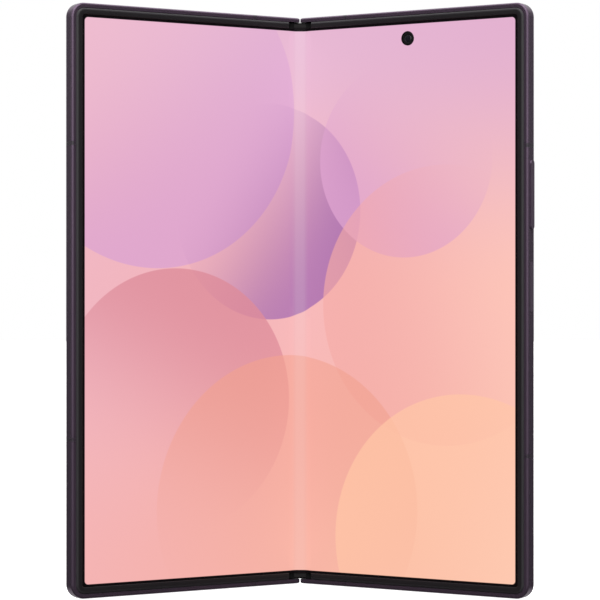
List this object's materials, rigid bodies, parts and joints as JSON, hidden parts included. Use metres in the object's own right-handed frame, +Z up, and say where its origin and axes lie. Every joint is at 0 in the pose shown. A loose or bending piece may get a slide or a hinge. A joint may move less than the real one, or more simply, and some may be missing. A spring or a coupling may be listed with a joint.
{
  "type": "foldable smartphone",
  "caption": "Book-style folding phone standing half open: two thin framed halves on a geared hinge, one large flexible inner screen, a cover screen and rear cameras.",
  "frame": {"origin": "middle of the box at the height of the lower edges, on which the phone stands like an open book", "axes": "+Z up along the hinge, -Y towards the viewer of the inner screen, +X to the viewer's right"},
  "size_m": [0.1245, 0.0412, 0.1584],
  "materials": {
    "plum_frame": "anodised, satin",
    "plum_island": "anodised, satin",
    "plum_glass": "matt etched",
    "black_glass": "polished",
    "screen": "gloss, lit",
    "bezel_plastic": "matt moulded",
    "band_plastic": "matt moulded",
    "dark_plastic": "moulded",
    "steel": "satin",
    "spine_metal": "anodised, satin",
    "carbon_plate": "matt woven",
    "board": "solder resist",
    "copper": "bare",
    "card": "moulded",
    "flash": "frosted",
    "magnet": "plated"
  },
  "bodies": {
    "hinge_spine": {"hinge_spine": "spine_metal", "hinge_bracket_lower": "steel", "hinge_bracket_upper": "steel", "spine_end_caps": "spine_metal", "gear_shafts": "steel", "friction_discs": "steel", "display_bend": "screen", "hinge_flex": "copper"},
    "right_half": {"right_frame": "plum_frame", "right_back_glass": "plum_glass", "right_bezel": "bezel_plastic", "right_display": "screen", "right_backplate": "carbon_plate", "right_rotators": "steel", "main_board": "board", "board_shields": "steel", "right_battery": "dark_plastic", "wireless_coil": "copper", "camera_island": "plum_island", "camera_rings": "plum_island", "camera_lenses": "black_glass", "camera_modules": "dark_plastic", "flash_lens": "flash", "inner_camera": "dark_plastic", "key_switches": "steel", "usb_port": "steel", "charge_board": "board", "loudspeaker": "dark_plastic", "haptic_motor": "steel", "right_antenna_bands": "band_plastic", "right_screws": "steel", "right_magnets": "magnet"},
    "left_half": {"left_frame": "plum_frame", "cover_glass": "black_glass", "cover_display": "dark_plastic", "left_bezel": "bezel_plastic", "left_display": "screen", "left_backplate": "carbon_plate", "left_rotators": "steel", "left_board": "board", "left_battery": "dark_plastic", "cover_camera": "dark_plastic", "ear_speaker": "dark_plastic", "sim_reader": "steel", "left_antenna_bands": "band_plastic", "left_screws": "steel", "left_magnets": "magnet"},
    "right_wing": {"right_wing": "steel"},
    "left_wing": {"left_wing": "steel"},
    "right_sync": {"right_sync_arms": "steel"},
    "left_sync": {"left_sync_arms": "steel"},
    "right_idler": {"right_idlers": "steel"},
    "left_idler": {"left_idlers": "steel"},
    "volume_rocker": {"volume_rocker": "plum_frame"},
    "side_key": {"side_key": "plum_frame"},
    "sim_tray": {"sim_tray": "plum_frame", "sim_card": "card"}
  },
  "joints": [
    {"name": "right_fold", "type": "hinge", "parent": "hinge_spine", "child": "right_half", "pos_m": [0.0012, 0.01735, 0.0792], "axis": [0, 0, -1], "range_deg": [-32, 58], "deforming": ["display_bend"]},
    {"name": "left_fold", "type": "hinge", "parent": "hinge_spine", "child": "left_half", "pos_m": [-0.0012, 0.01735, 0.0792], "axis": [0, 0, 1], "range_deg": [-32, 58]},
    {"name": "right_sync_turn", "type": "hinge", "parent": "hinge_spine", "child": "right_sync", "pos_m": [0.0021, 0.01815, 0.0792], "axis": [0, 0, -1], "range_deg": [-32, 58]},
    {"name": "left_sync_turn", "type": "hinge", "parent": "hinge_spine", "child": "left_sync", "pos_m": [-0.0021, 0.01815, 0.0792], "axis": [0, 0, 1], "range_deg": [-32, 58]},
    {"name": "right_idler_turn", "type": "hinge", "parent": "hinge_spine", "child": "right_idler", "pos_m": [0.0007, 0.01815, 0.0792], "axis": [0, 0, 1], "range_deg": [-32, 58]},
    {"name": "left_idler_turn", "type": "hinge", "parent": "hinge_spine", "child": "left_idler", "pos_m": [-0.0007, 0.01815, 0.0792], "axis": [0, 0, -1], "range_deg": [-32, 58]},
    {"name": "right_wing_tilt", "type": "hinge", "parent": "right_half", "child": "right_wing", "pos_m": [0.00481, 0.01482, 0.0792], "axis": [0, 0, -1], "range_deg": [-4.44, 8.06]},
    {"name": "left_wing_tilt", "type": "hinge", "parent": "left_half", "child": "left_wing", "pos_m": [-0.00481, 0.01482, 0.0792], "axis": [0, 0, 1], "range_deg": [-4.44, 8.06]},
    {"name": "volume_rocker_tilt", "type": "hinge", "parent": "right_half", "child": "volume_rocker", "pos_m": [0.05931, -0.0176, 0.1074], "axis": [-0.5299, -0.848, 0], "range_deg": [-1.1, 1.1], "stiffness_Nm_per_rad": 0.4},
    {"name": "side_key_press", "type": "slide", "parent": "right_half", "child": "side_key", "axis": [-0.848, 0.5299, 0], "range_m": [0, 0.0002], "stiffness_N_per_m": 2000},
    {"name": "sim_tray_slide", "type": "slide", "parent": "left_half", "child": "sim_tray", "axis": [0, 0, 1], "range_m": [0, 0.018]}
  ],
  "couplings": [
    {"joint": "left_fold", "follows": "right_fold", "ratio": 1},
    {"joint": "right_sync_turn", "follows": "right_fold", "ratio": 1},
    {"joint": "left_sync_turn", "follows": "right_fold", "ratio": 1},
    {"joint": "right_idler_turn", "follows": "right_fold", "ratio": 1},
    {"joint": "left_idler_turn", "follows": "right_fold", "ratio": 1},
    {"joint": "right_wing_tilt", "follows": "right_fold", "ratio": 0.13889},
    {"joint": "left_wing_tilt", "follows": "right_fold", "ratio": 0.13889}
  ]
}
